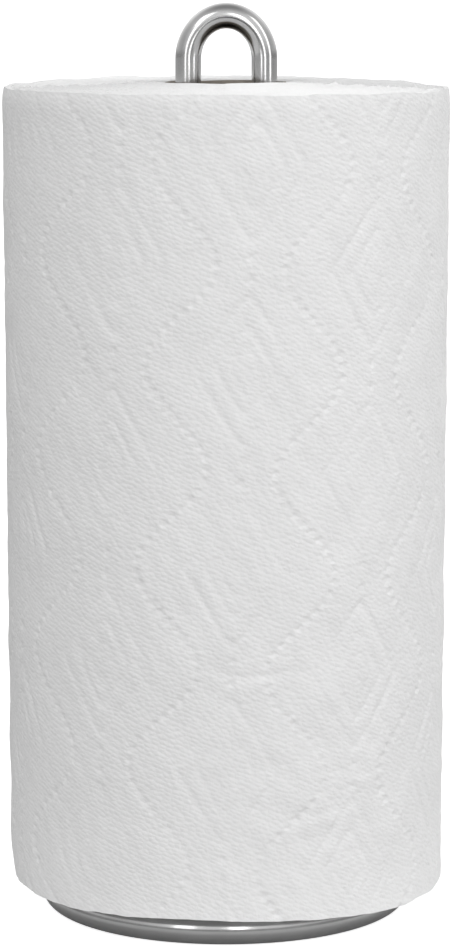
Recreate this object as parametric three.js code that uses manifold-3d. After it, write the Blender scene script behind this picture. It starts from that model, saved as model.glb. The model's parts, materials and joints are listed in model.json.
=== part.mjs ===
// Paper towel holder: a welded rod stand with a loop handle, and a full roll of paper towel on it.
// Millimetres, +Z up. The origin is the centre of the base ring, on the surface that it stands on.
// The loop's legs stand side by side along X, so the loop faces the front, -Y.

import * as THREE from 'three';
import { mergeVertices } from 'three/addons/utils/BufferGeometryUtils.js';
import Module from 'manifold-3d';

// Driving dimensions: the stand
const ROD_DIAMETER = 9; // the loop's rod
const RING_ROD_DIAMETER = 11;
const RING_OUTER_DIAMETER = 131;
const FOOT_BEND_INNER_RADIUS = 8; // where each leg turns outwards to the ring
const LOOP_RISE = 28.5; // the loop's top above the roll's top
const ARCH_RISE = 15; // of the arch's centre line above the straight legs
const LOOP_CLEARANCE = 2.45; // on each side, between the loop's legs and the card core
const BEAD_RADIUS = 2; // weld bead in each corner between a leg and the ring
const BEAD_HALF_SWEEP = THREE.MathUtils.degToRad(35); // how far round the rod a bead reaches, each way

// Driving dimensions: the roll
const CORE_BORE = 40.4;
const CORE_WALL = 0.9;
const ROLL_DIAMETER = 154.6;
const SHEET_WIDTH = 279.4; // the roll's height
const SHEET_LENGTH = 264; // between two perforations
const SHEET_THICKNESS = 0.4;

const GAP = 0.3; // between pieces that touch

// Facets
const ROD_SIDES = 16;
const RING_STEPS = 72;
const ARCH_STEPS = 16;
const FOOT_BEND_STEPS = 8;
const BEAD_SIDES = 12;
const BEAD_STEPS = 8;
const CORE_STEPS = 32; // in each half turn
const ROLL_STEPS = 48; // in each half turn

// What follows from them: the stand
const rodRadius = ROD_DIAMETER / 2;
const ringRodRadius = RING_ROD_DIAMETER / 2;
const ringRadius = RING_OUTER_DIAMETER / 2 - ringRodRadius; // to the rod's centre line
const legX = CORE_BORE / 2 - LOOP_CLEARANCE - rodRadius;
const footBendRadius = FOOT_BEND_INNER_RADIUS + rodRadius;
const footBendX = legX + footBendRadius;
const footBendZ = rodRadius + footBendRadius;

// The core's lower edge sits on the inside of the foot bends, a little above the ring's top.
// Where the bends are too low for that, the roll rests on the ring.
const bendReach = FOOT_BEND_INNER_RADIUS - GAP;
const edgeInFromBendCentre = Math.min(bendReach, Math.max(0, footBendX - CORE_BORE / 2));
const bottomOnBends = footBendZ - Math.sqrt(bendReach ** 2 - edgeInFromBendCentre ** 2);
const rollBottom = Math.max(bottomOnBends, RING_ROD_DIAMETER + GAP);
const rollTop = rollBottom + SHEET_WIDTH;
const archZ = rollTop + LOOP_RISE - rodRadius - ARCH_RISE;

// What follows from them: the roll
const coreRadius = CORE_BORE / 2 + CORE_WALL;
const rollRadius = ROLL_DIAMETER / 2;
const woundRadius = rollRadius - SHEET_THICKNESS - GAP;
const front = -Math.PI / 2;
const tailHalfAngle = SHEET_LENGTH / (rollRadius - SHEET_THICKNESS / 2) / 2;
const perforationHalfAngle = GAP / rollRadius / 2;

const wasm = await Module();
wasm.setup();

const satinNickel = new THREE.MeshStandardMaterial({ color: 0xb9b9b9, roughness: 0.28, metalness: 1 });
const weldMetal = new THREE.MeshStandardMaterial({ color: 0xa2a2a2, roughness: 0.45, metalness: 1 });
const kraftCard = new THREE.MeshStandardMaterial({ color: 0x9a948c, roughness: 0.9, metalness: 0 });
const towelPaper = new THREE.MeshStandardMaterial({ color: 0xf1f1f1, roughness: 0.95, metalness: 0 });

// A rod's centre line in the XZ plane, from flat curves with a number of steps each,
// so that straight stretches take one step and bends take many.
class RodLine extends THREE.Curve {
  constructor(stretches) {
    super();
    this.stretches = stretches;
    this.steps = stretches.reduce((sum, stretch) => sum + stretch.steps, 0);
  }

  getPoint(t, target = new THREE.Vector3()) {
    let step = t * this.steps;
    let stretch = this.stretches[0];
    for (stretch of this.stretches) {
      if (step <= stretch.steps) break;
      step -= stretch.steps;
    }
    const point = stretch.curve.getPoint(Math.min(1, step / stretch.steps));
    return target.set(point.x, 0, point.y);
  }

  getUtoTmapping(u) {
    return u;
  }
}

// The line where a leg's side meets the ring's inner side.
class CornerLine extends THREE.Curve {
  constructor(xSide, ySide) {
    super();
    this.xSide = xSide;
    this.ySide = ySide;
  }

  getPoint(t, target = new THREE.Vector3()) {
    const angle = (2 * t - 1) * BEAD_HALF_SWEEP;
    const z = rodRadius + rodRadius * Math.sin(angle);
    const inFromRing = Math.sqrt(Math.max(0, ringRodRadius ** 2 - (z - ringRodRadius) ** 2));
    return target.set(this.xSide * (ringRadius - inFromRing), this.ySide * rodRadius * Math.cos(angle), z);
  }
}

// A round section of flat sides that touch the circle, with a flat side at the bottom.
function rodSection(radius, sides) {
  const cornerRadius = radius / Math.cos(Math.PI / sides);
  const points = [];
  for (let i = 0; i < sides; i += 1) {
    const angle = ((i + 0.5) * 2 * Math.PI) / sides;
    points.push(new THREE.Vector2(cornerRadius * Math.cos(angle), cornerRadius * Math.sin(angle)));
  }
  return points;
}

function sweptRod(line, steps, radius, sides) {
  const section = new THREE.Shape(rodSection(radius, sides));
  return new THREE.ExtrudeGeometry(section, { extrudePath: line, steps });
}

function ringRod(radius) {
  const profile = rodSection(radius, ROD_SIDES).map((p) => new THREE.Vector2(ringRadius + p.x, p.y));
  profile.push(profile[0].clone());
  const ring = new THREE.LatheGeometry(profile, RING_STEPS);
  return ring.rotateX(Math.PI / 2).translate(0, 0, ringRodRadius);
}

function straightLine(fromX, fromZ, toX, toZ) {
  return new THREE.LineCurve(new THREE.Vector2(fromX, fromZ), new THREE.Vector2(toX, toZ));
}

function arcLine(centreX, centreZ, radius, fromAngle, toAngle) {
  return new THREE.EllipseCurve(centreX, centreZ, radius, radius, fromAngle, toAngle, false);
}

// The arch is half an ellipse, a little taller than it is wide.
function archLine() {
  return new THREE.EllipseCurve(0, archZ, legX, ARCH_RISE, Math.PI, 0, true);
}

// From the ring on the left, up one leg, over the arch, down the other leg and out to the ring.
function loopLine() {
  const up = Math.PI / 2;
  return new RodLine([
    { steps: 1, curve: straightLine(-ringRadius, rodRadius, -footBendX, rodRadius) },
    { steps: FOOT_BEND_STEPS, curve: arcLine(-footBendX, footBendZ, footBendRadius, -up, 0) },
    { steps: 1, curve: straightLine(-legX, footBendZ, -legX, archZ) },
    { steps: ARCH_STEPS, curve: archLine() },
    { steps: 1, curve: straightLine(legX, archZ, legX, footBendZ) },
    { steps: FOOT_BEND_STEPS, curve: arcLine(footBendX, footBendZ, footBendRadius, Math.PI, 3 * up) },
    { steps: 1, curve: straightLine(footBendX, rodRadius, ringRadius, rodRadius) },
  ]);
}

// Along the out-turned ends of both legs, straight across the ring.
function acrossLine() {
  return new RodLine([{ steps: 1, curve: straightLine(-ringRadius, rodRadius, ringRadius, rodRadius) }]);
}

function solidOf(geometry) {
  const bare = geometry.clone();
  bare.deleteAttribute('normal');
  bare.deleteAttribute('uv');
  const merged = mergeVertices(bare);
  return new wasm.Manifold(new wasm.Mesh({
    numProp: 3,
    vertProperties: new Float32Array(merged.attributes.position.array),
    triVerts: new Uint32Array(merged.index.array),
  }));
}

function geometryOf(solid) {
  const mesh = solid.getMesh();
  const geometry = new THREE.BufferGeometry();
  geometry.setAttribute('position', new THREE.BufferAttribute(mesh.vertProperties, 3));
  geometry.setIndex(new THREE.BufferAttribute(mesh.triVerts, 1));
  geometry.computeVertexNormals();
  return geometry;
}

// The loop and both legs are one bent rod, whose ends are coped to fit round the ring.
function uprightGeometry(ringAndGap) {
  const line = loopLine();
  const rod = sweptRod(line, line.steps, rodRadius, ROD_SIDES);
  return geometryOf(solidOf(rod).subtract(ringAndGap));
}

// A bead fills the corner between a leg and the ring, and keeps the gap to both.
function beadGeometry(xSide, ySide, ringAndGap, legsAndGap) {
  const bead = sweptRod(new CornerLine(xSide, ySide), BEAD_STEPS, BEAD_RADIUS, BEAD_SIDES);
  return geometryOf(solidOf(bead).subtract(ringAndGap).subtract(legsAndGap));
}

function tubeGeometry(innerRadius, outerRadius, steps) {
  const section = new THREE.Shape().absarc(0, 0, outerRadius, 0, 2 * Math.PI, false);
  section.holes.push(new THREE.Path().absarc(0, 0, innerRadius, 0, 2 * Math.PI, false));
  return rollLengthOf(section, steps);
}

// A sheet on the outside of the roll, from one angle round to another.
function sheetGeometry(fromAngle, toAngle) {
  const section = new THREE.Shape();
  section.absarc(0, 0, rollRadius, fromAngle, toAngle, false);
  section.absarc(0, 0, rollRadius - SHEET_THICKNESS, toAngle, fromAngle, true);
  section.closePath();
  return rollLengthOf(section, ROLL_STEPS);
}

function rollLengthOf(section, steps) {
  const options = { depth: SHEET_WIDTH, bevelEnabled: false, curveSegments: steps };
  return new THREE.ExtrudeGeometry(section, options).translate(0, 0, rollBottom);
}

function piece(name, geometry, material) {
  const mesh = new THREE.Mesh(geometry, material);
  mesh.name = name;
  return mesh;
}

function stand() {
  const group = new THREE.Group();
  const ringAndGap = solidOf(ringRod(ringRodRadius + GAP));
  const legsAndGap = solidOf(sweptRod(acrossLine(), 1, rodRadius + GAP, ROD_SIDES));
  group.add(piece('base_ring', ringRod(ringRodRadius), satinNickel));
  group.add(piece('upright_loop', uprightGeometry(ringAndGap), satinNickel));
  for (const [xSide, xName] of [[-1, 'left'], [1, 'right']]) {
    for (const [ySide, yName] of [[-1, 'front'], [1, 'back']]) {
      const bead = beadGeometry(xSide, ySide, ringAndGap, legsAndGap);
      group.add(piece(`weld_bead_${xName}_${yName}`, bead, weldMetal));
    }
  }
  return group;
}

function roll() {
  const group = new THREE.Group();
  const tailStart = front - tailHalfAngle + perforationHalfAngle;
  const tailEnd = front + tailHalfAngle - perforationHalfAngle;
  const nextStart = front + tailHalfAngle + perforationHalfAngle;
  const nextEnd = front - tailHalfAngle - perforationHalfAngle + 2 * Math.PI;
  group.add(piece('card_core', tubeGeometry(CORE_BORE / 2, coreRadius, CORE_STEPS), kraftCard));
  group.add(piece('wound_paper', tubeGeometry(coreRadius + GAP, woundRadius, ROLL_STEPS), towelPaper));
  group.add(piece('tail_sheet', sheetGeometry(tailStart, tailEnd), towelPaper));
  group.add(piece('next_sheet', sheetGeometry(nextStart, nextEnd), towelPaper));
  return group;
}

const holder = new THREE.Group();
holder.add(stand(), roll());

export default holder;
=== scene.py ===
"""Paper towel holder: a satin nickel rod stand and a full roll of embossed towel. Blender 4.5."""

import json
import math

import bmesh
import bpy
import numpy as np
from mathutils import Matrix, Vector

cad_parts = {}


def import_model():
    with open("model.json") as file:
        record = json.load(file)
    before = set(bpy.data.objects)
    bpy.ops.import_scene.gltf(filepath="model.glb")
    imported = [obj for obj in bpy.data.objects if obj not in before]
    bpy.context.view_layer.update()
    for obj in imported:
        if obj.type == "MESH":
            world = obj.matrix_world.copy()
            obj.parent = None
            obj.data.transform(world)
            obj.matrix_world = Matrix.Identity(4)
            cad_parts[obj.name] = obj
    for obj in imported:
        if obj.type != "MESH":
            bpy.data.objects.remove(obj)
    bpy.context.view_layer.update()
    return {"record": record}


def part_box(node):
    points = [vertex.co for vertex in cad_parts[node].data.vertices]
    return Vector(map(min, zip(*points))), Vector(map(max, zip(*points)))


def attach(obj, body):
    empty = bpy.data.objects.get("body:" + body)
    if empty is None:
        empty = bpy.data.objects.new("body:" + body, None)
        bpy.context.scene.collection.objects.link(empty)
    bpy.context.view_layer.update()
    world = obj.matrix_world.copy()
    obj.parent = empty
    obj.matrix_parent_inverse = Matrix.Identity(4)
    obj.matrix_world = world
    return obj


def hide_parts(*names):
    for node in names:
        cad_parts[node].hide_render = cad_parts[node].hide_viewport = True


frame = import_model()

MM = 0.001
SEED = 467

# The stand. The rods, the ring and the loop's height come from the frame.
ROD_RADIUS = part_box("upright_loop")[1].y  # the loop's rod
RING_ROD_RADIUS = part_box("base_ring")[1].z / 2
RING_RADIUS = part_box("base_ring")[1].x - RING_ROD_RADIUS  # to the rod's centre line
LOOP_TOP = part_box("upright_loop")[1].z
LEG_X = 13.25 * MM
FOOT_BEND_RADIUS = 12.5 * MM  # to the rod's centre line
ARCH_RISE = 15 * MM  # of the arch's centre line above the straight legs
LOOP_LEAN = 0.001  # to the right, for each unit of height
WELD_OVERLAP = 0.1 * MM  # how far the leg's end is fused into the ring
BEAD_RADIUS = 2.1 * MM
BEAD_HALF_SWEEP = math.radians(42)
BEAD_RIPPLES = 7
BEAD_RIPPLE_RISE = 0.07  # as a share of the bead's radius
ROD_SIDES = 40
RING_STEPS = 192
FOOT_BEND_STEPS = 20
ARCH_STEPS = 48
BEAD_STEPS = 56
BEAD_SIDES = 20

# The roll
ROLL_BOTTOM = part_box("card_core")[0].z
ROLL_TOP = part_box("card_core")[1].z
ROLL_HEIGHT = ROLL_TOP - ROLL_BOTTOM
CORE_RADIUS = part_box("card_core")[1].x
CORE_WALL = 0.9 * MM
CORE_SEAM_LEAD = 83 * MM  # the height in which the card's spiral seam goes round once
CORE_SEAM_SLOPE = math.radians(32)
CORE_SEAM_DEPTH = 0.28 * MM
CORE_SEAM_WIDTH = 0.7 * MM
CORE_RIM_STRAY = 0.12 * MM
CORE_COLUMNS = 128
CORE_ROWS = 260
WOUND_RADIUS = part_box("wound_paper")[1].x
WOUND_BORE = CORE_RADIUS + 0.3 * MM
TURN_PITCH = 0.76 * MM  # from one turn of the web to the next
SHEET_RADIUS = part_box("tail_sheet")[1].x
SHEET_LENGTH = 264 * MM
SHEET_BACK = 1.7 * MM  # from a sheet's mean outer face to its inner face, past the deepest dent
SHEET_ROWS = 324
TAIL_COLUMNS = 300
NEXT_COLUMNS = 254


# ---------------------------------------------------------------- node helpers


class Nodes:
    """A short way to write a node tree."""

    def __init__(self, tree):
        self.tree = tree
        tree.nodes.clear()

    def add(self, kind, inputs=None, **settings):
        node = self.tree.nodes.new(kind)
        for name, value in settings.items():
            setattr(node, name, value)
        for key, value in (inputs or {}).items():
            if isinstance(value, bpy.types.NodeSocket):
                self.tree.links.new(value, node.inputs[key])
            else:
                node.inputs[key].default_value = value
        return node

    def math(self, operation, a, b=0.0, c=0.0):
        return self.add("ShaderNodeMath", {0: a, 1: b, 2: c}, operation=operation).outputs[0]

    def ramp(self, fac, stops):
        """A colour ramp. Each stop is a position with a grey value or a colour."""
        node = self.add("ShaderNodeValToRGB", {"Fac": fac})
        ramp = node.color_ramp
        while len(ramp.elements) < len(stops):
            ramp.elements.new(0.5)
        for element, (position, colour) in zip(ramp.elements, stops):
            element.position = position
            element.color = grey(colour) if isinstance(colour, (int, float)) else (*colour, 1)
        return node.outputs["Color"]

    def noise(self, vector, scale, detail, roughness, **settings):
        inputs = {"Vector": vector, "Scale": scale, "Detail": detail, "Roughness": roughness}
        return self.add("ShaderNodeTexNoise", inputs, **settings).outputs["Fac"]


def grey(value):
    return (value, value, value, 1)


def new_material(name):
    material = bpy.data.materials.new(name)
    material.use_nodes = True
    return material, Nodes(material.node_tree)


def record_colour(slot):
    for row in frame["record"]["materials"]:
        if row["slot"] == slot:
            return row["base_color"]
    raise KeyError(slot)


# ---------------------------------------------------------------- materials


def metal_material(slot, roughness, scratch_height):
    """Plated steel rod: fine drawing lines along the rod, and a slight unevenness of the polish."""
    material, n = new_material(slot)
    colour = record_colour(slot)
    along = n.add("ShaderNodeUVMap", uv_map="rod").outputs[0]
    lines_place = n.add("ShaderNodeMapping", {"Vector": along, "Scale": (60, 2600, 1)}).outputs[0]
    lines = n.noise(lines_place, scale=1.0, detail=3.0, roughness=0.6, noise_dimensions="2D")
    place = n.add("ShaderNodeTexCoord").outputs["Object"]
    cloud = n.noise(place, scale=90.0, detail=3.0, roughness=0.55)
    pits = n.noise(place, scale=1400.0, detail=2.0, roughness=0.5)
    darker = [c * 0.93 for c in colour]
    tint = n.ramp(cloud, [(0.35, darker), (0.65, colour)])
    spread = n.math("MULTIPLY_ADD", cloud, 0.10, roughness - 0.05)
    rough = n.math("MULTIPLY_ADD", lines, 0.06, n.math("SUBTRACT", spread, 0.03))
    relief = n.math("MULTIPLY_ADD", pits, 0.5, lines)
    bump = n.add(
        "ShaderNodeBump", {"Strength": 0.35, "Distance": scratch_height, "Height": relief}
    ).outputs[0]
    shader = n.add(
        "ShaderNodeBsdfPrincipled",
        {"Base Color": tint, "Metallic": 1.0, "Roughness": rough, "Normal": bump},
    )
    n.add("ShaderNodeOutputMaterial", {"Surface": shader.outputs[0]})
    return material


DASH_SLOPE = math.radians(-21)
DASH_LENGTH = 2.5 * MM
DASH_PITCH = 1.45 * MM  # from one row of dashes to the next
DASH_DEPTH = 0.2 * MM


def paper_material():
    """Two-ply towel: rows of tiny dashes pressed into soft, matt, near-white paper."""
    material, n = new_material("towel_paper")
    colour = record_colour("towel_paper")
    web = n.add("ShaderNodeUVMap", uv_map="web").outputs[0]
    dashes_place = n.add(
        "ShaderNodeMapping",
        {"Vector": web, "Rotation": (0, 0, DASH_SLOPE), "Scale": (DASH_LENGTH, DASH_PITCH, 1)},
        vector_type="TEXTURE",
    ).outputs[0]
    dashes = n.add(
        "ShaderNodeTexVoronoi",
        {"Vector": dashes_place, "Scale": 1.0, "Randomness": 0.65},
        voronoi_dimensions="2D",
    ).outputs["Distance"]
    place = n.add("ShaderNodeTexCoord").outputs["Object"]
    fibres = n.noise(place, scale=1500.0, detail=3.0, roughness=0.6)
    mottle = n.noise(place, scale=60.0, detail=4.0, roughness=0.6)
    lumps = n.noise(place, scale=420.0, detail=2.0, roughness=0.5)
    uneven = n.math("MULTIPLY_ADD", lumps, 0.6, n.math("MULTIPLY", fibres, 0.6))
    height = n.math("SUBTRACT", uneven, dashes)
    bump = n.add(
        "ShaderNodeBump", {"Strength": 1.0, "Distance": DASH_DEPTH, "Height": height}
    ).outputs[0]
    tint = n.ramp(mottle, [(0.3, [c * 0.975 for c in colour]), (0.7, colour)])
    shader = n.add(
        "ShaderNodeBsdfPrincipled",
        {
            "Base Color": tint,
            "Roughness": 0.95,
            "Specular IOR Level": 0.25,
            "Sheen Weight": 0.08,
            "Normal": bump,
        },
    )
    n.add("ShaderNodeOutputMaterial", {"Surface": shader.outputs[0]})
    return material


def card_material():
    """Grey-brown recycled card with short fibres and darker flecks."""
    material, n = new_material("kraft_card")
    colour = record_colour("kraft_card")
    place = n.add("ShaderNodeTexCoord").outputs["Object"]
    stretched = n.add("ShaderNodeMapping", {"Vector": place, "Scale": (1, 1, 0.35)}).outputs[0]
    fibres = n.noise(stretched, scale=900.0, detail=4.0, roughness=0.65)
    blotches = n.noise(place, scale=70.0, detail=3.0, roughness=0.5)
    mixed = n.math("MULTIPLY_ADD", blotches, 0.5, n.math("MULTIPLY", fibres, 0.5))
    dark = [c * 0.72 for c in colour]
    light = [min(1.0, c * 1.25) for c in colour]
    tint = n.ramp(mixed, [(0.35, dark), (0.5, colour), (0.66, light)])
    bump = n.add(
        "ShaderNodeBump", {"Strength": 0.6, "Distance": 0.1 * MM, "Height": fibres}
    ).outputs[0]
    shader = n.add(
        "ShaderNodeBsdfPrincipled",
        {"Base Color": tint, "Roughness": 0.9, "Specular IOR Level": 0.3, "Normal": bump},
    )
    n.add("ShaderNodeOutputMaterial", {"Surface": shader.outputs[0]})
    return material


# ---------------------------------------------------------------- mesh helpers


def grid_faces(rows, columns, wrap_rows=False, wrap_columns=False):
    """Quads of a grid of points, row after row. Seen from outside, rows go up and columns go right."""
    row = np.arange(rows if wrap_rows else rows - 1)
    column = np.arange(columns if wrap_columns else columns - 1)
    r, c = np.meshgrid(row, column, indexing="ij")
    up, right = (r + 1) % rows, (c + 1) % columns
    corners = [r * columns + c, r * columns + right, up * columns + right, up * columns + c]
    return np.stack(corners, -1).reshape(-1, 4).tolist()


def polar(radius, angle, height):
    """Points round the Z axis. Angle 0 is the front, -Y, and it grows towards +X."""
    x, y, z = np.broadcast_arrays(radius * np.sin(angle), -radius * np.cos(angle), height)
    return np.stack([x, y, z], -1)


SHARP_ANGLE = math.radians(55)  # between faces that meet in a hard edge


def piece(name, points, faces, material, body, uv=None):
    """A mesh object that rides on a body. uv is (layer name, one pair for each point)."""
    mesh = bpy.data.meshes.new(name)
    mesh.from_pydata(np.reshape(points, (-1, 3)).tolist(), [], faces)
    if uv:
        corner_points = np.zeros(len(mesh.loops), np.int32)
        mesh.loops.foreach_get("vertex_index", corner_points)
        layer = mesh.uv_layers.new(name=uv[0])
        layer.data.foreach_set("uv", np.reshape(uv[1], (-1, 2))[corner_points].astype(np.float32).ravel())
    mesh.materials.append(material)
    mesh.shade_smooth()
    mesh.set_sharp_from_angle(angle=SHARP_ANGLE)
    mesh.validate()
    thing = bpy.data.objects.new(name, mesh)
    bpy.context.scene.collection.objects.link(thing)
    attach(thing, body)
    return thing


NOISE_WAVES = 14
NOISE_TERMS = 9


def smooth_noise(u, v, wavelength, seed):
    """A smooth random field of about unit height, the same each run."""
    random = np.random.default_rng(SEED + seed)
    total = np.zeros(np.broadcast(u, v).shape)
    for _ in range(NOISE_WAVES):
        direction = random.uniform(0, 2 * np.pi)
        number = 2 * np.pi / (wavelength * random.uniform(0.7, 1.5))
        phase = random.uniform(0, 2 * np.pi)
        total += np.sin(number * (u * np.cos(direction) + v * np.sin(direction)) + phase)
    return total / math.sqrt(NOISE_WAVES / 2)


def ring_noise(angle, cycles, seed):
    """A smooth random profile round a circle, of about unit height, that closes on itself."""
    random = np.random.default_rng(SEED + seed)
    total = np.zeros(np.shape(angle))
    for _ in range(NOISE_TERMS):
        number = random.integers(max(1, cycles // 2), cycles * 2)
        total += np.sin(number * angle + random.uniform(0, 2 * np.pi))
    return total / math.sqrt(NOISE_TERMS / 2)


# ---------------------------------------------------------------- the stand


def swept_tube(centres, across, radius):
    """Rings of points round a flat line. across is the in-plane direction for each centre."""
    turn = np.arange(ROD_SIDES) * 2 * np.pi / ROD_SIDES
    y_axis = np.array([0.0, 1.0, 0.0])
    ring = np.cos(turn)[None, :, None] * across[:, None, :] + np.sin(turn)[None, :, None] * y_axis
    return centres[:, None, :] + radius * ring


def base_ring(material):
    """The ring: one round rod, bent to a circle that lies on the floor."""
    angle = np.arange(RING_STEPS) * 2 * np.pi / RING_STEPS
    turn = np.arange(ROD_SIDES) * 2 * np.pi / ROD_SIDES
    a, t = np.meshgrid(angle, turn, indexing="ij")
    radius = RING_RADIUS + RING_ROD_RADIUS * np.cos(t)
    points = polar(radius, a, RING_ROD_RADIUS + RING_ROD_RADIUS * np.sin(t))
    uv = ("rod", np.stack([a * RING_RADIUS, t * RING_ROD_RADIUS], -1))
    inward_faces = grid_faces(RING_STEPS, ROD_SIDES, wrap_rows=True, wrap_columns=True)
    faces = [face[::-1] for face in inward_faces]
    thing = piece("ring_rod", points, faces, material, "stand", uv)
    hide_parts("base_ring")


def arc(centre, radii, start, end, steps):
    """Points and outward directions along an elliptical arc in the XZ plane."""
    angle = np.linspace(start, end, steps + 1)
    flat = np.zeros_like(angle)
    out = np.stack([np.cos(angle) / radii[0], flat, np.sin(angle) / radii[1]], -1)
    points = np.stack([radii[0] * np.cos(angle), flat, radii[1] * np.sin(angle)], -1)
    points += np.array([centre[0], 0, centre[1]])
    return points, out / np.linalg.norm(out, axis=1)[:, None]


def loop_line():
    """Centres and in-plane directions of the loop's rod, from its left end round to its right end."""
    bend_x = LEG_X + FOOT_BEND_RADIUS
    bend_z = ROD_RADIUS + FOOT_BEND_RADIUS
    arch_z = LOOP_TOP - ROD_RADIUS - ARCH_RISE
    bend_radii = (FOOT_BEND_RADIUS, FOOT_BEND_RADIUS)
    left_bend, left_out = arc((-bend_x, bend_z), bend_radii, -np.pi / 2, 0, FOOT_BEND_STEPS)
    arch, arch_out = arc((0, arch_z), (LEG_X, ARCH_RISE), np.pi, 0, ARCH_STEPS)
    right_bend, right_out = arc((bend_x, bend_z), bend_radii, np.pi, 1.5 * np.pi, FOOT_BEND_STEPS)
    left_end = np.array([[-RING_RADIUS, 0, ROD_RADIUS]])
    right_end = np.array([[RING_RADIUS, 0, ROD_RADIUS]])
    centres = np.concatenate([left_end, left_bend, arch, right_bend, right_end])
    centres[:, 0] += LOOP_LEAN * (centres[:, 2] - ROD_RADIUS)
    across = np.concatenate([left_out[:1], left_out, -arch_out, right_out, right_out[-1:]])
    return centres, across


def ring_inner_face(z):
    """The distance from the Z axis to the base ring's inner face, at some height."""
    return RING_RADIUS - np.sqrt(np.clip(RING_ROD_RADIUS**2 - (z - RING_ROD_RADIUS) ** 2, 0, None))


def cope_end(end_points, side):
    """Moves a rod's last ring of points along X onto the base ring's inner face."""
    reach = ring_inner_face(end_points[:, 2]) + WELD_OVERLAP
    end_points[:, 0] = side * np.sqrt(reach**2 - end_points[:, 1] ** 2)


def upright_loop(material):
    """The loop: foot, leg, arch, leg and foot, one bent rod whose ends are fused to the ring."""
    centres, across = loop_line()
    points = swept_tube(centres, across, ROD_RADIUS)
    cope_end(points[0], -1)
    cope_end(points[-1], 1)
    length = np.concatenate([[0], np.cumsum(np.linalg.norm(np.diff(centres, axis=0), axis=1))])
    around = np.arange(ROD_SIDES) * 2 * np.pi / ROD_SIDES * ROD_RADIUS
    uv = np.stack(np.meshgrid(length, around, indexing="ij"), -1).reshape(-1, 2)
    faces = grid_faces(len(centres), ROD_SIDES, wrap_columns=True)
    first_cap = list(range(ROD_SIDES))
    last_cap = [(len(centres) - 1) * ROD_SIDES + i for i in range(ROD_SIDES)]
    faces += [first_cap[::-1], last_cap]
    thing = piece("loop_rod", points, faces, material, "stand", ("rod", uv))
    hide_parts("upright_loop")
    return thing


def weld_bead(x_side, y_side, name, material):
    """A rippled bead of weld metal in the corner between a leg's end and the ring."""
    along = np.linspace(-1, 1, BEAD_STEPS + 1)
    sweep = along * BEAD_HALF_SWEEP
    z = ROD_RADIUS + ROD_RADIUS * np.sin(sweep)
    centres = np.stack([x_side * ring_inner_face(z), y_side * ROD_RADIUS * np.cos(sweep), z], -1)
    tangent = np.gradient(centres, axis=0)
    tangent /= np.linalg.norm(tangent, axis=1)[:, None]
    sideways = np.cross(tangent, [x_side, -y_side, 0])
    sideways /= np.linalg.norm(sideways, axis=1)[:, None]
    outward = np.cross(sideways, tangent)
    ripple = 1 + BEAD_RIPPLE_RISE * np.abs(np.sin(np.pi * BEAD_RIPPLES * along))
    radius = BEAD_RADIUS * ripple * np.sqrt(np.clip(1 - np.abs(along) ** 5, 0.02, 1))
    turn = np.arange(BEAD_SIDES) * 2 * np.pi / BEAD_SIDES
    ring = (
        np.cos(turn)[None, :, None] * outward[:, None, :]
        + np.sin(turn)[None, :, None] * sideways[:, None, :]
    )
    points = centres[:, None, :] + radius[:, None, None] * ring
    faces = grid_faces(BEAD_STEPS + 1, BEAD_SIDES, wrap_columns=True)
    first_cap = list(range(BEAD_SIDES))
    last_cap = [BEAD_STEPS * BEAD_SIDES + i for i in range(BEAD_SIDES)]
    faces += [first_cap[::-1], last_cap]
    uv = np.stack(np.meshgrid(along * BEAD_RADIUS, turn * BEAD_RADIUS, indexing="ij"), -1)
    thing = piece(f"bead_{name}", points, faces, material, "stand", ("rod", uv))
    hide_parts(f"weld_bead_{name}")


def stand():
    """Builds the stand, and returns the loop, which has a light of its own."""
    nickel = metal_material("satin_nickel", roughness=0.17, scratch_height=0.012 * MM)
    weld = metal_material("weld_metal", roughness=0.34, scratch_height=0.03 * MM)
    base_ring(nickel)
    loop = upright_loop(nickel)
    for x_side, x_name in ((-1, "left"), (1, "right")):
        for y_side, y_name in ((-1, "front"), (1, "back")):
            weld_bead(x_side, y_side, f"{x_name}_{y_name}", weld)
    return loop


# ---------------------------------------------------------------- the embossed pattern
# In the web's own plane and in millimetres: u runs along the web, to the right on the roll,
# and v runs up it from the roll's bottom. x and y are the pattern's own axes, which lean.

PATTERN_U = 6.8  # the middle of one cell
PATTERN_V = 188.1
PATTERN_LEAN = math.radians(2.7)  # to the right, going up
COLUMN_PITCH = 46.0
ROW_PITCH = 68.3
WAVE_SWING = 11.5  # of the dotted lines that part the columns
DOT_PITCH = 4.05
DOT_LENGTH = 1.75  # half the length of a dot's dent
DOT_WIDTH = 1.4
DOT_DEPTH = 0.66
DOT_DEPTH_SPREAD = (0.55, 1.15)  # the least and the greatest share of that depth
NECK_DOT_RISE = 3.75  # of the two extra dots where a column is narrowest
LOZENGES = ((15.6, 23.4, 1.0), (8.3, 13.2, 0.85), (3.6, 6.4, 0.5))  # half width, half height, strength
LOZENGE_ROUNDING = 1.3
LINE_WIDTH = 0.85
LINE_DEPTH = 0.33
LINE_DEPTH_SPREAD = (0.25, 1.3)
COCKLE = 0.10  # of the web's soft unevenness
FINE_COCKLE = 0.05
RIPPLE = 0.10  # of the level ripples where the web lies slack
SLACK_U = 24
SLACK_V = 45
SLACK_SPREAD = 34
CREASE_LIP_SHARE = 0.7  # of the crease's depth
CREASE_LIP_DROP = 2.2  # below the crease, in widths of it
CREASE_LIP_WIDTH = 1.6
CREASE_FADE = 2  # past the crease's ends


def to_pattern(u, v):
    """From the web's own axes to the pattern's."""
    du, dv = u - PATTERN_U, v - PATTERN_V
    cos, sin = math.cos(PATTERN_LEAN), math.sin(PATTERN_LEAN)
    return du * cos - dv * sin, du * sin + dv * cos


def to_web(x, y):
    """From the pattern's axes to the web's own."""
    cos, sin = math.cos(PATTERN_LEAN), math.sin(PATTERN_LEAN)
    return PATTERN_U + x * cos + y * sin, PATTERN_V - x * sin + y * cos


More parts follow.
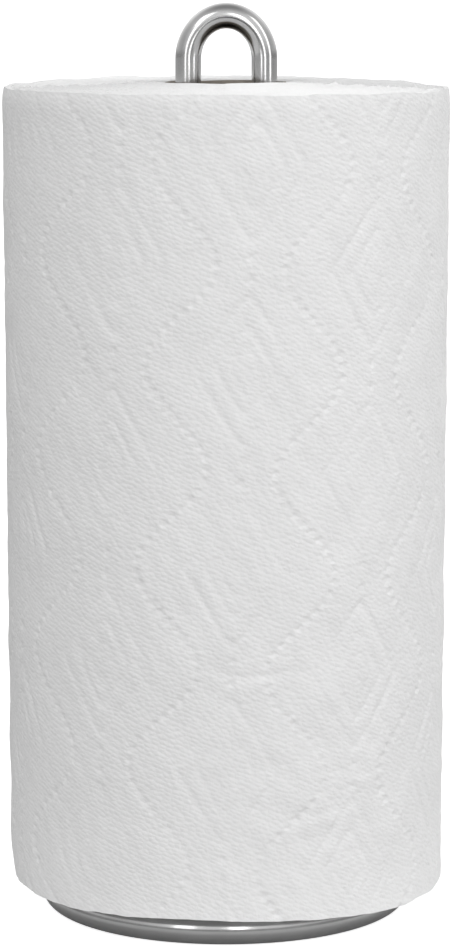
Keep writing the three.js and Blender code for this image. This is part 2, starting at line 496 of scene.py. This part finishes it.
def wave_dots(column, y_low, y_high):
    """Dots (x, y, angle) along the wavy line to the right of a column, evenly spaced on it."""
    y = np.arange(y_low, y_high, 0.1)
    side = 1 if column % 2 == 0 else -1
    swing = side * WAVE_SWING * np.cos(2 * np.pi * y / ROW_PITCH)
    x = (column + 0.5) * COLUMN_PITCH + swing
    length = np.concatenate([[0], np.cumsum(np.hypot(np.diff(x), np.diff(y)))])
    at = np.arange(0, length[-1], DOT_PITCH)
    angle = np.arctan2(np.gradient(y), np.gradient(x))
    return np.stack([np.interp(at, length, values) for values in (x, y, angle)], -1)


def neck_dots(column, y_low, y_high):
    """The two dots one above the other, in each place where a column is narrowest."""
    offset = 0.0 if column % 2 else 0.5
    first = math.floor(y_low / ROW_PITCH)
    last = math.ceil(y_high / ROW_PITCH)
    rows = [
        (column * COLUMN_PITCH, (row + offset) * ROW_PITCH + rise, math.pi / 2)
        for row in range(first, last + 1)
        for rise in (-NECK_DOT_RISE, NECK_DOT_RISE)
    ]
    return np.array(rows)


def all_dots(u_low, u_high, v_high):
    """Every dot over a stretch of the web, as (u, v, angle)."""
    margin = 2 * COLUMN_PITCH
    columns = range(
        math.floor((u_low - PATTERN_U - margin) / COLUMN_PITCH),
        math.ceil((u_high - PATTERN_U + margin) / COLUMN_PITCH),
    )
    y_low, y_high = -PATTERN_V - margin, v_high - PATTERN_V + margin
    found = []
    for column in columns:
        found.append(wave_dots(column, y_low, y_high))
        found.append(neck_dots(column, y_low, y_high))
    dots = np.concatenate(found)
    u, v = to_web(dots[:, 0], dots[:, 1])
    return np.stack([u, v, dots[:, 2] - PATTERN_LEAN], -1)


def press_dots(relief, us, vs):
    """Presses the dots into a grid of heights whose rows are vs and whose columns are us."""
    random = np.random.default_rng(SEED)
    reach = 1.2 * DOT_LENGTH  # past the dent's rim
    for u, v, angle in all_dots(us.min(), us.max(), vs.max()):
        depth = DOT_DEPTH * random.uniform(*DOT_DEPTH_SPREAD)
        c0, c1 = np.searchsorted(us, (u - reach, u + reach))
        r0, r1 = np.searchsorted(vs, (v - reach, v + reach))
        if c0 == c1 or r0 == r1:
            continue
        du, dv = np.meshgrid(us[c0:c1] - u, vs[r0:r1] - v)
        along = du * math.cos(angle) + dv * math.sin(angle)
        across = dv * math.cos(angle) - du * math.sin(angle)
        q = (along / DOT_LENGTH) ** 2 + (across / DOT_WIDTH) ** 2
        relief[r0:r1, c0:c1] -= depth * np.clip(1 - q, 0, 1) ** 1.5


def lozenge_lines(u, v):
    """The depth of the nested lozenges' pressed lines."""
    x, y = to_pattern(u, v)
    column = np.round(x / COLUMN_PITCH)
    offset = np.where(column % 2 == 0, 0.0, ROW_PITCH / 2)
    row = np.round((y - offset) / ROW_PITCH)
    dx = np.sqrt((x - column * COLUMN_PITCH) ** 2 + LOZENGE_ROUNDING**2) - LOZENGE_ROUNDING
    dy = np.sqrt((y - offset - row * ROW_PITCH) ** 2 + LOZENGE_ROUNDING**2) - LOZENGE_ROUNDING
    depth = np.zeros_like(dx)
    for half_width, half_height, strength in LOZENGES:
        inside = dx / half_width + dy / half_height - 1
        distance = inside * half_width * half_height / math.hypot(half_width, half_height)
        depth += strength * np.exp(-((distance / LINE_WIDTH) ** 2))
    fade = np.clip(0.8 + 0.35 * smooth_noise(u, v, wavelength=34, seed=11), *LINE_DEPTH_SPREAD)
    return LINE_DEPTH * depth * fade


# Creases: three points (u, v) along each, its depth and its width
CREASES = (
    (((-9, 88), (5, 84.3), (30, 87)), 0.26, 1.5),
    (((17, 34.5), (33, 37), (46, 40)), 0.26, 2.0),
    (((36, 52), (47, 49.5), (58, 50)), 0.15, 1.4),
    (((56, 73), (60, 66), (66, 60)), 0.18, 1.2),
)


def crease(u, v, points, depth, width):
    """A fold along a bent line that fades out at its ends, with a swollen lip below it."""
    (u0, v0), (u1, v1), (u2, v2) = points
    t = np.clip((u - u0) / (u2 - u0), 0, 1)
    middle = (u1 - u0) / (u2 - u0)
    line_v = np.interp(t, (0, middle, 1), (v0, v1, v2))
    beyond = np.maximum(np.maximum(u0 - u, u - u2), 0)
    fade = np.sin(np.pi * (t * 0.92 + 0.04)) * np.exp(-((beyond / CREASE_FADE) ** 2))
    off = (v - line_v) / width
    lip = CREASE_LIP_SHARE * np.exp(-(((off + CREASE_LIP_DROP) / CREASE_LIP_WIDTH) ** 2))
    return depth * fade * (lip - np.exp(-(off**2)))


def wrinkles(u, v):
    """Soft, mostly level ripples where the web lies slack, in the lower middle of the front."""
    slack = np.exp(-(((u - SLACK_U) / SLACK_SPREAD) ** 2) - (((v - SLACK_V) / SLACK_SPREAD) ** 2))
    ripples = smooth_noise(u * 0.35, v, wavelength=9, seed=21)
    return RIPPLE * slack * ripples


def web_relief(us, vs):
    """The height of the web's surface over its mean, on a grid."""
    u, v = np.meshgrid(us, vs)
    relief = COCKLE * smooth_noise(u, v, wavelength=26, seed=31)
    relief += FINE_COCKLE * smooth_noise(u, v, wavelength=8, seed=32)
    relief += wrinkles(u, v) - lozenge_lines(u, v)
    for points, depth, width in CREASES:
        relief += crease(u, v, points, depth, width)
    press_dots(relief, us, vs)
    return relief


# ---------------------------------------------------------------- the roll

# In millimetres, like the pattern
FREE_EDGE_LIFT = 1.1  # where the tail sheet's end stands off the roll
FREE_EDGE_REACH = 10.0
FREE_EDGE_CORNER = 14.0  # of height, in which the lift fades out at the top
FREE_EDGE_WAVE = 0.35  # of the lift, as it comes and goes along the edge
FREE_EDGE_WAVE_SPAN = 37  # of height, for one radian of that wave
FREE_EDGE_TUCK = 4.0  # of the next sheet under the tail sheet's free edge
TOP_DOME = 1.4  # by which the inner turns stand above the outer ones
LIP_RISE = 0.5  # by which the turns at the bore stand above the card core
BOND_PITCH = 3.1  # along the perforation, one bond and one cut
BOND_SHARE = 0.3
CUT_HALF_GAP = 0.22
CUT_FRAY = 0.06
TOP_FLARE = 0.5  # by which the top is wider than the middle, and the bottom narrower
OFF_CENTRE = 0.28  # to the right
GIRTH_STRAY = 0.05
SHOULDER_HEIGHT = 6  # of the rounding below the top rim
SHOULDER_DEPTH = 0.6
SHOULDER_LEFT = 0.3  # by which it is deeper on the left, and shallower on the right
PINCH_HEIGHT = 16  # of the squeezed place at the bottom left
PINCH_DEPTH = 1.1
RIM_STRAY = 0.16
RIM_FINE_STRAY = 0.08
TOP_BACK_RISE = 0.17
TOP_SIDE_DROOP = 0.8
TOP_RIGHT_DROOP = 0.3
BOTTOM_FRONT_RISE = 0.7
BOTTOM_RIGHT_DROOP = 0.87
BOTTOM_SLUMP = 1.0  # halfway between the front or back and either side


def roll_swell(angle, v):
    """How far the roll stands out from its mean radius: it is a little wider at its top."""
    height = ROLL_HEIGHT / MM
    taper = TOP_FLARE * (2 * v / height - 1)
    shoulder_depth = SHOULDER_DEPTH - SHOULDER_LEFT * np.sin(angle)
    shoulder = shoulder_depth * np.clip(1 - (height - v) / SHOULDER_HEIGHT, 0, 1) ** 2
    leftness = np.clip(-np.sin(angle), 0, 1)
    pinch = PINCH_DEPTH * (np.clip(1 - v / PINCH_HEIGHT, 0, 1) * leftness) ** 2
    off_centre = OFF_CENTRE * np.sin(angle)
    stray = GIRTH_STRAY * ring_noise(angle, cycles=3, seed=41)
    return taper + off_centre - shoulder - pinch + stray


def rim_noise(angle, seed):
    """The small stray of a wound roll's rim."""
    coarse = RIM_STRAY * ring_noise(angle, cycles=9, seed=seed)
    return coarse + RIM_FINE_STRAY * ring_noise(angle, cycles=31, seed=seed + 1)


def top_rim(angle):
    """How far the web's top edge stands above a flat one: the sides droop, the right one more."""
    droop = TOP_SIDE_DROOP * np.sin(angle) ** 2 + TOP_RIGHT_DROOP * np.sin(angle)
    return TOP_BACK_RISE * (1 - np.cos(angle)) - droop + rim_noise(angle, seed=51)


def bottom_rim(angle):
    """How far the web's bottom edge stands above a flat one: front and back are drawn up."""
    slump = BOTTOM_SLUMP * np.sin(2 * angle) ** 6
    drawn_up = BOTTOM_FRONT_RISE * np.cos(2 * angle) - BOTTOM_RIGHT_DROOP * np.sin(angle)
    return drawn_up - slump + rim_noise(angle, seed=61)


def rim_heights(angle, share):
    """The stray of the web's edges, shared out over its height. share is 0 at the bottom, 1 at the top."""
    return share * top_rim(angle) + (1 - share) * bottom_rim(angle)


def cut_edge(v, seed):
    """How far a perforated edge is drawn back at each height: bonds reach out and cuts don't."""
    random = np.random.default_rng(SEED + seed)
    phase = (v / BOND_PITCH) % 1
    return np.where(phase < BOND_SHARE, 0.0, CUT_HALF_GAP) + random.uniform(0, CUT_FRAY, len(v))


def sheet_grids(us, vs, free_end):
    """A sheet's outer face as grids of radius, relief, angle, height, u and v."""
    roll_radius = SHEET_RADIUS / MM
    u, v = np.meshgrid(us, vs)
    angle = u / roll_radius
    relief = web_relief(us, vs)
    radius = roll_radius + roll_swell(angle, v) + relief
    if free_end:
        to_edge = np.clip((us.max() - u) / FREE_EDGE_REACH, 0, 1)
        corner = np.clip((vs.max() - v) / FREE_EDGE_CORNER, 0, 1)
        wave = corner * (1 + FREE_EDGE_WAVE * np.sin(v / FREE_EDGE_WAVE_SPAN))
        radius += FREE_EDGE_LIFT * (1 - to_edge) ** 2 * wave
    height = ROLL_BOTTOM / MM + v + rim_heights(angle, v / vs.max())
    return radius, relief, angle, height, u, v


def sheet_piece(name, node, u_low, u_high, columns, free_end, material):
    """A closed sheet: a finely embossed outer face, plain rims and a plain inner face."""
    us = np.linspace(u_low, u_high, columns)
    vs = np.linspace(0, ROLL_HEIGHT / MM, SHEET_ROWS)
    radius, relief, angle, height, u, v = sheet_grids(us, vs, free_end)
    cut = cut_edge(vs, seed=71) / (SHEET_RADIUS / MM)
    angle[:, 0] += cut
    angle[:, -1] -= cut
    inner_radius = (radius - relief)[[-1, 0]] - SHEET_BACK / MM
    angle, height, u, v = [np.concatenate([grid, grid[[-1, 0]]]) for grid in (angle, height, u, v)]
    radius = np.concatenate([radius, inner_radius])
    points = polar(radius * MM, angle, height * MM)
    faces = grid_faces(SHEET_ROWS + 2, columns, wrap_rows=True)
    first = [row * columns for row in range(SHEET_ROWS + 2)]
    last = [row * columns + columns - 1 for row in range(SHEET_ROWS + 2)]
    faces += [first, last[::-1]]
    uv = ("web", np.stack([u, v], -1) * MM)
    thing = piece(name, points, faces, material, "paper", uv)
    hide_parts(node)


def sheets(material):
    """The outermost turn: the tail sheet round the front, and the next sheet round the back."""
    half = SHEET_LENGTH / MM / 2
    girth = 2 * math.pi * SHEET_RADIUS / MM
    next_low = half - girth - FREE_EDGE_TUCK
    sheet_piece("towel_tail", "tail_sheet", -half, half, TAIL_COLUMNS, True, material)
    sheet_piece("towel_next", "next_sheet", next_low, -half, NEXT_COLUMNS, False, material)


TURN_PROFILE = (0.0, -0.34, -0.16)  # the height of each row of points across one turn
TURN_STRAY = 0.22
TURN_FINE_STRAY = 0.10
END_EDGE_DEPTH = 0.1  # of the ends' outermost and innermost rows
END_INSET = 0.25 * MM
END_COLUMNS = 176
SHEET_GAP = 0.05 * MM  # between the inner turns and the sheets' inner faces


def layered_face(height, side):
    """One end of the wound web: a grid whose rows follow the spiral, a few to a turn."""
    per_turn = len(TURN_PROFILE)
    turns = (WOUND_RADIUS - WOUND_BORE) / TURN_PITCH
    height_on_roll = (height - ROLL_BOTTOM) / MM
    rows = int(turns * per_turn) + per_turn + 1
    row = np.arange(-per_turn, rows)
    angle = np.linspace(0, 2 * np.pi, END_COLUMNS + 1)
    k, a = np.meshgrid(row, angle, indexing="ij")
    radius = WOUND_BORE + TURN_PITCH * (k / per_turn + a / (2 * np.pi))
    outside = SHEET_RADIUS - SHEET_BACK - SHEET_GAP
    edge = (radius <= WOUND_BORE) | (radius >= outside)
    radius = np.clip(radius, WOUND_BORE, outside)
    share = (radius - WOUND_BORE) / (outside - WOUND_BORE)
    radius = radius + share**4 * roll_swell(a, height_on_roll) * MM
    turn_number = k // per_turn + a / (2 * np.pi)
    stray = TURN_STRAY * smooth_noise(turn_number * 7.0, a * 4, wavelength=9, seed=81 + side)
    stray += TURN_FINE_STRAY * smooth_noise(turn_number * 31.0, a * 9, wavelength=7, seed=83 + side)
    valley = np.array(TURN_PROFILE)[k % per_turn]
    relief = np.where(edge, -END_EDGE_DEPTH, valley + stray) * MM
    if side > 0:
        whole = TOP_DOME * (1 - share) ** 1.5 + share**2 * top_rim(a)
    else:
        whole = share**5 * bottom_rim(a)
    return polar(radius, a, height + side * relief + whole * MM), radius, a


def wound_paper(material):
    """The roll's inner turns: two layered ends, a bore and an outside."""
    top, top_radius, top_angle = layered_face(ROLL_TOP - END_INSET, 1)
    low, low_radius, low_angle = layered_face(ROLL_BOTTOM + END_INSET, -1)
    rows = len(top)
    columns = END_COLUMNS + 1
    top_faces = [face[::-1] for face in grid_faces(rows, columns)]
    low_start = rows * columns
    low_faces = [[low_start + i for i in face] for face in grid_faces(rows, columns)]
    last = (rows - 1) * columns
    walls = []
    for c in range(END_COLUMNS):
        inner = [c, c + 1, low_start + c + 1, low_start + c]
        outer = [last + c + 1, last + c, low_start + last + c, low_start + last + c + 1]
        walls += [inner, outer]
    points = np.concatenate([top.reshape(-1, 3), low.reshape(-1, 3)])
    radius = np.concatenate([top_radius.ravel(), low_radius.ravel()])
    angle = np.concatenate([top_angle.ravel(), low_angle.ravel()])
    uv = ("web", np.stack([angle * radius, radius], -1))
    thing = piece(
        "towel_wound", points, top_faces + low_faces + walls, material, "paper", uv
    )
    merge_close_points(thing)
    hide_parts("wound_paper")


MERGE_DISTANCE = 0.002 * MM


def merge_close_points(thing):
    """Joins each spiral row's end to the row that goes on from it, and rows that lie on each other."""
    shape = bmesh.new()
    shape.from_mesh(thing.data)
    bmesh.ops.remove_doubles(shape, verts=shape.verts, dist=MERGE_DISTANCE)
    bmesh.ops.dissolve_degenerate(shape, edges=shape.edges, dist=MERGE_DISTANCE)
    bmesh.ops.recalc_face_normals(shape, faces=shape.faces)
    shape.to_mesh(thing.data)
    shape.free()


def card_core(material):
    """A spirally wound card tube, with a seam inside it and a slightly uneven rim."""
    angle = np.arange(CORE_COLUMNS) * 2 * np.pi / CORE_COLUMNS
    length = ROLL_HEIGHT + (TOP_DOME - LIP_RISE) * MM
    v = np.linspace(0, length, CORE_ROWS)
    a, h = np.meshgrid(angle, v)
    bore = CORE_RADIUS - CORE_WALL
    turn = (h / CORE_SEAM_LEAD - a / (2 * np.pi)) % 1
    off_seam = np.minimum(turn, 1 - turn) * CORE_SEAM_LEAD * math.cos(CORE_SEAM_SLOPE)
    seam = CORE_SEAM_DEPTH * np.exp(-((off_seam / CORE_SEAM_WIDTH) ** 2))
    stray = CORE_RIM_STRAY * ring_noise(angle, cycles=5, seed=91)
    outer = polar(CORE_RADIUS, a[:2], np.array([[0], [length]]) + ROLL_BOTTOM)
    inner = polar(bore + seam, a, h + ROLL_BOTTOM)[::-1]
    points = np.concatenate([outer, inner])
    points[1, :, 2] += stray
    points[2, :, 2] += stray
    faces = grid_faces(CORE_ROWS + 2, CORE_COLUMNS, wrap_rows=True, wrap_columns=True)
    thing = piece("core_tube", points, faces, material, "core")
    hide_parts("card_core")


def roll():
    """The card core and the paper on it."""
    paper = paper_material()
    card_core(card_material())
    wound_paper(paper)
    sheets(paper)


# ---------------------------------------------------------------- the studio

CAMERA_PLACE = (0.0002, -1.3, 0.34606)
CAMERA_PITCH = 8.393  # degrees downwards
CAMERA_LENS = 141.22  # millimetres, on the sensor width below
SENSOR_WIDTH = 36
CLIP_START = 0.05
CLIP_END = 200


def camera():
    """A long lens straight in front of the roll, a little above its top."""
    data = bpy.data.cameras.new("camera")
    data.sensor_width = SENSOR_WIDTH
    data.lens = CAMERA_LENS
    data.clip_start = CLIP_START
    data.clip_end = CLIP_END
    eye = bpy.data.objects.new("camera", data)
    eye.location = CAMERA_PLACE
    eye.rotation_euler = (math.radians(90 - CAMERA_PITCH), 0, 0)
    bpy.context.scene.collection.objects.link(eye)
    bpy.context.scene.camera = eye


# The floor's painted greys by the distance from the ring's centre in metres, as the rod and the paper see
# it: painted shade under the roll's overhang, a pale painted band just round the ring, and painted dark
# further out, for the rod to reflect and to dim the bounce onto the paper's bottom
FLOOR_NEAR_PAINTED_SHADE_AND_LIGHT = ((0.06, 0.42), (0.076, 0.62), (0.088, 0.62), (0.12, 0.28))
FLOOR_PAINTED_DARK_BAND = ((0.6, 1.0), (0.84, 0.3))  # a painted dark band, which multiplies the greys above
# painted greys for the far floor: dark at first, paler far off
FLOOR_FAR_PAINTED_GREYS = ((1.6, 0.0), (3.4, 0.7))
FLOOR_WHITE = 0.8  # to the camera
FLOOR_HALF_WIDTH = 80.0


def grey_by_distance(n, away, stops, span):
    """A ramp over distances from 0 to span."""
    return n.ramp(n.math("MULTIPLY", away, 1 / span), [(at / span, shade) for at, shade in stops])


def floor():
    """A matt floor, white to the camera. The rod and the paper see it palest just round the ring: its
    greys are painted shade under the roll's overhang, a painted pale band round the ring and a painted
    dark band further out, for the rod to reflect.
    """
    material, n = new_material("floor")
    camera_ray = n.add("ShaderNodeLightPath").outputs["Is Camera Ray"]
    place = n.add("ShaderNodeTexCoord").outputs["Object"]
    away = n.add("ShaderNodeVectorMath", {0: place}, operation="LENGTH").outputs["Value"]
    near = grey_by_distance(n, away, FLOOR_NEAR_PAINTED_SHADE_AND_LIGHT, span=0.2)
    far = grey_by_distance(n, away, FLOOR_FAR_PAINTED_GREYS, span=4.0)
    painted_dark_band = grey_by_distance(n, away, FLOOR_PAINTED_DARK_BAND, span=2.0)
    # painted light and shade on the floor, seen only in the rod's reflections and in the bounce onto the
    # paper
    painted_floor_greys = n.math("MAXIMUM", n.math("MULTIPLY", near, painted_dark_band), far)
    white = n.math("MULTIPLY", camera_ray, FLOOR_WHITE)
    colour = n.math("MAXIMUM", painted_floor_greys, white)
    matt = n.add("ShaderNodeBsdfDiffuse", {"Color": colour})
    glow = n.add("ShaderNodeEmission", {"Strength": white})
    both = n.add("ShaderNodeAddShader", {0: matt.outputs[0], 1: glow.outputs[0]})
    n.add("ShaderNodeOutputMaterial", {"Surface": both.outputs[0]})
    half = FLOOR_HALF_WIDTH
    mesh = bpy.data.meshes.new("floor")
    mesh.from_pydata(
        [(-half, -half, 0), (half, -half, 0), (half, half, 0), (-half, half, 0)], [], [(0, 1, 2, 3)]
    )
    mesh.materials.append(material)
    thing = bpy.data.objects.new("floor", mesh)
    bpy.context.scene.collection.objects.link(thing)


# The studio's greys by direction: from 0 straight down to 1 straight up, from 0 in front to 1 behind,
# and from 0 in the middle to 1 at either side. The last two multiply the first.
SKY_BY_HEIGHT = ((0.46, 0.36), (0.515, 0.36), (0.56, 0.80), (0.80, 0.82), (0.93, 0.48), (0.99, 0.28))
SKY_BEHIND = ((0.35, 1.0), (0.8, 1.35))
SKY_AT_SIDES = ((0.5, 1.0), (0.9, 0.6))


def world():
    """White to the camera. Everything else sees a studio: darker sides and a dark band low down."""
    studio = bpy.data.worlds.new("studio")
    bpy.context.scene.world = studio
    studio.use_nodes = True
    n = Nodes(studio.node_tree)
    direction = n.add("ShaderNodeTexCoord").outputs["Generated"]
    axes = n.add("ShaderNodeSeparateXYZ", {0: direction})
    rise = n.math("MULTIPLY_ADD", axes.outputs["Z"], 0.5, 0.5)
    by_height = n.ramp(rise, SKY_BY_HEIGHT)
    behind = n.ramp(n.math("MULTIPLY_ADD", axes.outputs["Y"], 0.5, 0.5), SKY_BEHIND)
    side_shade = n.ramp(n.math("ABSOLUTE", axes.outputs["X"]), SKY_AT_SIDES)
    strength = n.math("MULTIPLY", n.math("MULTIPLY", by_height, behind), side_shade)
    lit = n.add("ShaderNodeBackground", {"Color": grey(1), "Strength": strength})
    seen = n.add("ShaderNodeBackground", {"Color": grey(1), "Strength": 1.0})
    camera_ray = n.add("ShaderNodeLightPath").outputs["Is Camera Ray"]
    mixed = n.add("ShaderNodeMixShader", {0: camera_ray, 1: lit.outputs[0], 2: seen.outputs[0]})
    n.add("ShaderNodeOutputWorld", {"Surface": mixed.outputs[0]})


def soft_box(name, azimuth, elevation, size, power, distance=1.4, glossy=True, only_on=None):
    """An area light that faces the roll. Azimuth 0 is the camera's side, and it grows to the right."""
    data = bpy.data.lights.new(name, "AREA")
    data.shape = "RECTANGLE"
    data.size, data.size_y = size
    data.energy = power
    light = bpy.data.objects.new(name, data)
    a, e = math.radians(azimuth), math.radians(elevation)
    middle = Vector((0, 0, (ROLL_BOTTOM + ROLL_TOP) / 2))
    away = Vector((math.sin(a) * math.cos(e), -math.cos(a) * math.cos(e), math.sin(e)))
    light.location = middle + distance * away
    light.rotation_euler = (-away).to_track_quat("-Z", "Y").to_euler()
    light.visible_camera = False
    light.visible_glossy = glossy
    if only_on:
        receivers = bpy.data.collections.new(name)
        receivers.objects.link(only_on)
        light.light_linking.receiver_collection = receivers
    bpy.context.scene.collection.objects.link(light)


def lights(loop):
    """Boxes that show in the metal, one that shines only on the loop, and fills that don't show."""
    soft_box("strip_left", azimuth=-25, elevation=15, size=(0.28, 0.8), power=1.2)
    soft_box("strip_middle", azimuth=8, elevation=15, size=(0.24, 0.8), power=1.5)
    soft_box("box_left", azimuth=-30, elevation=40, size=(0.5, 0.4), power=1.3)
    soft_box("strip_right", azimuth=55, elevation=22, size=(0.34, 1.5), power=2.8, only_on=loop)
    soft_box("key", azimuth=56, elevation=30, size=(0.9, 1.0), power=7.6, distance=1.8, glossy=False)
    soft_box("top", azimuth=20, elevation=75, size=(1.0, 1.0), power=0.7, distance=1.2, glossy=False)
    soft_box("fill_right", azimuth=95, elevation=8, size=(0.7, 0.7), power=3.1, glossy=False)
    soft_box("fill_left", azimuth=-30, elevation=12, size=(0.7, 0.7), power=1.8, glossy=False)


# ---------------------------------------------------------------- everything

bpy.context.scene.view_settings.view_transform = "Standard"
camera()
world()
floor()
lights(stand())
roll()
